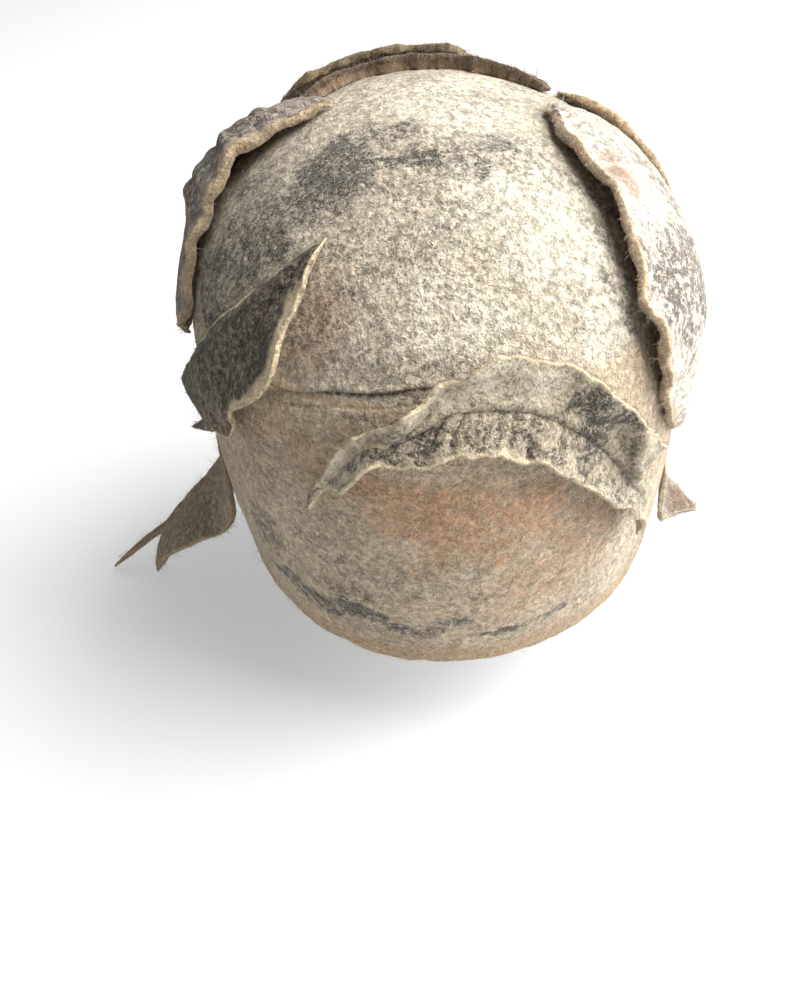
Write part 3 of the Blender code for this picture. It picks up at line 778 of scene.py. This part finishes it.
def leftFlapFolds(along, across):
    # the swells, and a lumpy crest behind the free edge that stands out past it
    stretch = easedStep(along, 0.08, 0.24) * (1 - easedStep(along, 0.46, 0.6))
    lump = (0.72 + 0.14 * np.sin(2 * np.pi * 4.1 * along + 1)
            + 0.13 * np.sin(2 * np.pi * 9.7 * along + 5 * across)
            + 0.1 * np.sin(2 * np.pi * 17.3 * along - 7 * across))
    crest = 0.0044 * stretch * lump * bell(across - 0.28, 0.15)
    return flapSwell(along, across) + crest, 0.35 * stretch * bell(across - 0.24, 0.12)


def leafFolds(along, across):
    # a shallow groove down the middle, and the free right edge rolled up unevenly; the second result
    # darkens the groove's bottom: painted shade
    groove = -0.0007 * bell(across - 0.5, 0.06)
    roll = 0.0006 * (1 + 0.9 * np.sin(19 * along)) * easedStep(across, 0.78, 1.0)
    # painted shade along the bottom of the groove
    dark = 0.25 * bell(across - 0.5, 0.03)
    return (groove + roll) * easedStep(along, 0.03, 0.2), dark


folds = {"back_ruffle": ruffleFolds, "left_flap": leftFlapFolds, "right_flap": rightFlapFolds,
         "left_leaf": leafFolds}


def arcLengths(points, axis):
    # distance from the first edge along one direction of the grid, and from the last one
    steps = np.linalg.norm(np.diff(points, axis=axis), axis=-1)
    start = np.insert(np.cumsum(steps, axis=axis), 0, 0, axis=axis)
    return start, np.take(start, [-1], axis=axis) - start


def pieceName(node):
    # back_ruffle becomes backRuffle
    name = node.title().replace("_", "")
    return name[0].lower() + name[1:]


def buildLeaf(node, leaf, seed):
    # two skins on either side of a middle surface that meet in a rounded edge all round
    name = pieceName(node) + "Felt"
    along, across = np.meshgrid(crowdedSteps(leaf["steps"][0]), crowdedSteps(leaf["steps"][1]), indexing="ij")
    edgeA, edgeB = (leafMiddle(leaf, along[:, 0], np.full(len(along), side))[0] for side in (0.0, 1.0))
    width = np.linalg.norm(edgeA - edgeB, axis=-1).clip(0.006)
    wander, wanderSize = leaf["wander"]
    wanderA = wander * crumple(edgeA, wanderSize, seed, 4) / width
    wanderB = wander * crumple(edgeB, wanderSize, seed + 50, 4) / width
    shifted = -wanderA[:, None] + across * (1 + wanderA + wanderB)[:, None]
    middle, outward = leafMiddle(leaf, along, shifted)
    lift, crease = folds[node](along, across) if node in folds else (0 * along, 0 * along)
    middle = middle + gridNormal(middle, outward) * lift[..., None]
    normal = gridNormal(middle, outward)
    fromA, fromB = arcLengths(middle, 1)
    fromStart, fromEnd = arcLengths(middle, 0)
    edge = np.minimum(np.minimum(fromA, fromB), np.minimum(fromStart, fromEnd))
    lipA, lipB = leaf["lips"]
    lip = lipA + (lipB - lipA) * easedStep(across, 0.25, 0.75)
    lip = lip * (1 + 0.25 * crumple(middle, 0.008, seed + 21, 2))
    lip = lip * (0.35 + 0.65 * easedStep(np.minimum(fromStart, fromEnd), 0, 0.01))
    half = lip + (leafFelt / 2 - lip) * easedStep(edge, 0.6 * lip, 0.0055)
    half = half * (1 - (1 - (edge / lip.clip(0.0003, 0.001)).clip(0, 1)) ** 3) ** (1 / 3)
    rag = leaf.get("rag", 0.15) * (1 - easedStep(edge, 0.001, 0.005))
    inside = easedStep(edge, 0, 0.002)
    relief = inside * (0.0003 * crumple(middle, 0.008, seed + 3) + 0.00012 * lumps(middle, 0.003, seed + 7))
    outer = middle + normal * (half * (1 + rag * crumple(middle, 0.0034, seed + 31)) + relief)[..., None]
    # a filled leaf's lower skin reaches down to the crown
    offCrown = lift + leafLift(leaf, along, shifted) + 2 * seatGap
    filled = leaf.get("filled", 0) * easedStep(edge, 0, 0.0012) * offCrown
    sunk = half * (1 + rag * crumple(middle, 0.003, seed + 37)) - 0.0002 * inside + filled
    inner = middle - normal * sunk[..., None]
    rows, columns = edge.shape
    outerIndex = np.arange(rows * columns).reshape(rows, columns)
    innerIndex = outerIndex.copy()
    innerCount = (rows - 2) * (columns - 2)
    innerIndex[1:-1, 1:-1] = rows * columns + np.arange(innerCount).reshape(rows - 2, columns - 2)
    faces = np.concatenate([quadsOf(outerIndex), quadsOf(innerIndex)[:, ::-1]])
    points = np.concatenate([outer.reshape(-1, 3), inner[1:-1, 1:-1].reshape(-1, 3)])
    if facesInward(points, faces):
        faces = faces[:, ::-1]
    flat = middle.reshape(-1, 3)
    tones = toneArray(flat, leaf["tones"], leaf.get("patches", {}))
    # crease is the folds' second result, added to the dark share: painted shade in the hollows of the ruffle
    # and the left leaf, a painted highlight where it falls below 0 on the ruffle's raised corner, and darker
    # grey along the left flap's crest
    tones[0] = tones[0] + crease.ravel()
    uneven = 1 + 0.9 * crumple(flat, 0.005, seed + 11).reshape(edge.shape)
    creamA, creamB = leaf["cream"]
    spreadA = creamA * uneven.clip(0.3) * smoothColumn(leaf.get("spreadA", (1, 1)), along)
    spreadB = creamB * uneven.clip(0.3) * smoothColumn(leaf.get("spreadB", (1, 1)), along)
    cream = np.maximum(1.6 - fromA / spreadA, 1.6 - np.minimum(fromB, fromEnd) / spreadB).clip(0, 1)
    cream = np.maximum(cream, (1.6 - fromStart / creamB).clip(0, 1))
    outerTones = np.stack([*tones, cream.ravel()], -1)
    innerPick = outerIndex[1:-1, 1:-1].ravel()
    attributes = {"tones": np.concatenate([outerTones, outerTones[innerPick]]),
                  "under": np.concatenate([np.zeros(rows * columns), np.ones(len(innerPick))])}
    mesh = meshFromGrid(name, points, faces, attributes)
    addPiece(name, mesh, node, feltMaterial(name, leaf["look"]))
    return middle, normal, edge


leafGrids = {node: buildLeaf(node, leaf, seed) for seed, (node, leaf) in enumerate(leaves.items(), 1)}


# how many fibres grow in each place, how far they rise off the felt and how long they are
fuzz = {
    "seed": 11, "thickness": 0.00011, "shares": (0.0, 0.3, 0.66), "nubs": 16,
    "crown": {"count": 5400, "rise": (0.02, 0.75), "length": (0.0014, 0.0042)},
    "rim": {"count": 1200, "rise": (-0.6, 0.6), "length": (0.0008, 0.003)},
    "stray": {"count": 30, "rise": (0.1, 0.6), "length": (0.005, 0.01)},
    "nub": {"count": 14, "rise": (0.0, 0.3), "length": (0.0012, 0.0024)},
    "edge": {"count": 320, "rise": (-0.9, 0.9), "length": (0.001, 0.0036)},
    "skin": {"count": 170, "rise": (0.05, 0.8), "length": (0.0012, 0.0036)},
}


def fibreMesh(name, roots, directions, bends, lengths, chance):
    # each fibre is a three-sided tube on a parabola, with a closed root and a pointed tip
    share = np.array(fuzz["shares"])[None, :, None]
    reach = directions[:, None] * share + bends[:, None] * share ** 2
    spine = roots[:, None] + lengths[:, None, None] * reach
    tip = roots + lengths[:, None] * (directions + bends)
    right = anyWay(directions, chance)
    up = unit(np.cross(directions, right))
    angle = np.radians([0, 120, 240])
    circle = np.cos(angle)[:, None] * right[:, None] + np.sin(angle)[:, None] * up[:, None]
    radius = fuzz["thickness"] / 2 * (1 - 0.5 * share)
    rings = spine[:, :, None] + circle[:, None] * radius[..., None]
    count, ringCount = len(roots), len(fuzz["shares"])
    stride = 3 * ringCount + 1
    points = np.concatenate([rings.reshape(count, -1, 3), tip[:, None]], axis=1).reshape(-1, 3)
    around = np.arange(3)
    following = (around + 1) % 3
    sides = [np.stack([3 * k + around, 3 * k + following, 3 * k + 3 + following, 3 * k + 3 + around], 1)
             for k in range(ringCount - 1)]
    top = 3 * (ringCount - 1)
    point = np.full(3, 3 * ringCount)
    ends = [np.stack([top + around, top + following, point, point], 1), np.array([[2, 1, 0, 0]])]
    one = np.concatenate(sides + ends)
    faces = (one[None] + stride * np.arange(count)[:, None, None]).reshape(-1, 4)
    light = np.repeat(chance.uniform(0.1, 1.0, count), stride)
    zero = 0 * light
    tones = np.stack([0.6 * (light < 0.25), zero, 0.3 + 0.7 * light, 0.6 * (light > 0.62)], -1)
    return meshFromGrid(name, points, faces, {"tones": tones, "under": zero})


def onCrown(azimuth, down):
    # points of the crown, with the directions that stand on it
    return crownPoint(azimuth, down), crownNormal(azimuth, down)


def anyWay(normal, chance):
    # a random direction square to each normal
    return unit(np.cross(normal, chance.normal(size=normal.shape)))


def scatter(roots, normal, along, kind, chance):
    # directions lean along the felt, rise off it by a random share, and curl as they grow
    rise = chance.uniform(*kind["rise"], len(roots))[:, None]
    directions = unit(along + normal * rise + 0.35 * chance.normal(size=roots.shape))
    bends = 0.42 * chance.normal(size=roots.shape)
    return roots, directions, bends, chance.uniform(*kind["length"], len(roots))


def evenPick(count, amount, chance):
    # grid lines picked so that they spread evenly along steps that are short at both ends
    return np.searchsorted(crowdedSteps(count - 1), chance.uniform(0.02, 0.98, amount)).clip(3, count - 4)


def joinFibres(name, bunches, material, chance):
    # all bunches become one piece with the felt's own material
    roots, directions, bends, lengths = (np.concatenate(part) for part in zip(*bunches))
    mesh = fibreMesh(name, roots, directions, bends, lengths, chance)
    addPiece(name, mesh, None, material)


def buildFuzz():
    # fibres stand on the crown, round its rim, in silk nubs on the nape, and on each leaf
    f = fuzz
    chance = np.random.default_rng(f["seed"])
    count = f["crown"]["count"]
    azimuth = chance.uniform(-180, 180, count)
    down = 0.62 * np.arccos(1 - chance.uniform(0.001, 0.999, count)) / np.arccos(0.0)
    down = np.where(chance.uniform(0, 1, count) < 0.42, chance.uniform(0.6, 0.995, count), down)
    roots, normal = onCrown(azimuth, down)
    along = anyWay(normal, chance)
    bunches = [scatter(roots - 0.0001 * normal, normal, along, f["crown"], chance)]
    azimuth = chance.uniform(-180, 180, f["rim"]["count"])
    down = np.full(len(azimuth), 0.998)
    roots, normal = onCrown(azimuth, down)
    roots = roots - normal * chance.uniform(0, 0.003, len(down))[:, None]
    lower = unit(crownPoint(azimuth, down + 0.002) - crownPoint(azimuth, down - 0.002))
    bunches.append(scatter(roots, normal, lower, f["rim"], chance))
    azimuth = chance.uniform(-180, 180, f["stray"]["count"])
    down = chance.uniform(0.2, 0.9, len(azimuth))
    roots, normal = onCrown(azimuth, down)
    bunches.append(scatter(roots, normal, anyWay(normal, chance), f["stray"], chance))
    nubs, count = f["nubs"], f["nub"]["count"]
    azimuth = np.repeat(chance.uniform(-14, 24, nubs), count) + chance.normal(0, 0.5, nubs * count)
    down = np.repeat(chance.normal(0.822, 0.008, nubs), count) + chance.normal(0, 0.002, nubs * count)
    roots, normal = onCrown(azimuth, down)
    along = unit(crownPoint(azimuth + 1, down) - roots)
    bunches.append(scatter(roots + 0.0002 * normal, normal, along, f["nub"], chance))
    joinFibres("crownFuzz", bunches, bpy.data.materials["crownFelt"], chance)
    for node, (middle, normal, edge) in leafGrids.items():
        bunches = []
        rows, columns = edge.shape
        for side, inner in ((0, 3), (columns - 1, columns - 4)):
            row = evenPick(rows, leaves[node].get("hairs", f["edge"]["count"]), chance)
            outward = unit(middle[row, side] - middle[row, inner])
            offEdge = normal[row, side] * chance.uniform(-0.0009, 0.0009, len(row))[:, None]
            roots = middle[row, side] - 0.0002 * outward + offEdge
            bunches.append(scatter(roots, normal[row, side], outward, f["edge"], chance))
        row = evenPick(rows, f["skin"]["count"], chance)
        column = evenPick(columns, f["skin"]["count"], chance)
        roots = middle[row, column] + normal[row, column] * leafFelt / 2
        along = anyWay(normal[row, column], chance)
        bunches.append(scatter(roots, normal[row, column], along, f["skin"], chance))
        name = pieceName(node)
        joinFibres(name + "Fuzz", bunches, bpy.data.materials[name + "Felt"], chance)


buildFuzz()


camera = {"aim": (-0.019, 0, -0.001), "orbit": (0, 0, 0.08), "distance": 0.42,
          "azimuth": -1.4, "elevation": 31.7, "roll": -5.0, "lens": 42.3}


floor = {"reach": 2.6, "drop": 0.002, "look": {
    "Base Color": (0.61, 0.62, 0.625, 1), "Roughness": 0.9,
    "Emission Color": (0.95, 0.97, 1.0, 1), "Emission Strength": 0.36}}
window = {"place": (0.8, -0.1, 0.88), "aim": (0, 0, 0.07), "size": 1.3, "power": 47,
          "paint": (1.0, 0.98, 0.95)}
room = {"paint": (1.0, 0.985, 0.96, 1), "light": 0.25, "backdrop": 0.86}


def facing(place, aim):
    # a place, with a turn that points the object's -Z at the aim
    turn = (Vector(aim) - Vector(place)).to_track_quat("-Z", "Y")
    return Matrix.Translation(place) @ turn.to_matrix().to_4x4()


def addCamera(c):
    # looks from a point on a sphere round the crown at the aim, then rolls about its own axis
    azimuth, elevation, roll = np.radians([c["azimuth"], c["elevation"], c["roll"]])
    place = Vector(c["orbit"]) + c["distance"] * Vector((
        np.sin(azimuth) * np.cos(elevation), -np.cos(azimuth) * np.cos(elevation), np.sin(elevation)))
    data = bpy.data.cameras.new("camera")
    data.lens = c["lens"]
    data.sensor_width = 36
    data.clip_start = 0.01
    data.clip_end = 50
    piece = addObject("camera", data)
    piece.matrix_world = facing(place, c["aim"]) @ Matrix.Rotation(roll, 4, "Z")
    bpy.context.scene.camera = piece


def addFloor(f):
    # one square just below the lowest point, that glows a little so that shadows stay pale
    data = bpy.data.meshes.new("floor")
    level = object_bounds()[0][2] - f["drop"]
    corners = [(x * f["reach"], y * f["reach"], level) for x, y in ((-1, -1), (1, -1), (1, 1), (-1, 1))]
    data.from_pydata(corners, [], [(0, 1, 2, 3)])
    data.materials.append(newMaterial("floorPaint", f["look"])[0])
    addObject("floor", data)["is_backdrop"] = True


def addLight(name, w):
    # a square window of light, turned to its aim
    data = bpy.data.lights.new(name, "AREA")
    data.shape = "SQUARE"
    data.size = w["size"]
    data.energy = w["power"]
    data.color = w["paint"]
    addObject(name, data).matrix_world = facing(w["place"], w["aim"])


def addRoom(name, r):
    # the room lights the hat softly, and looks brighter than that behind it
    world = bpy.data.worlds.new(name)
    world.use_nodes = True
    tree = world.node_tree
    background = tree.nodes["Background"]
    background.inputs["Color"].default_value = r["paint"]
    seen = addNode(tree, "ShaderNodeLightPath").outputs["Is Camera Ray"]
    strength = maths(tree, "MULTIPLY_ADD", seen, r["backdrop"] - r["light"], r["light"])
    plug(tree, background.inputs["Strength"], strength)
    bpy.context.scene.world = world


addCamera(camera)
addFloor(floor)
addLight("windowLight", window)
addRoom("paleRoom", room)
bpy.context.scene.view_settings.view_transform = "Standard"
print("camera, floor and lights set")
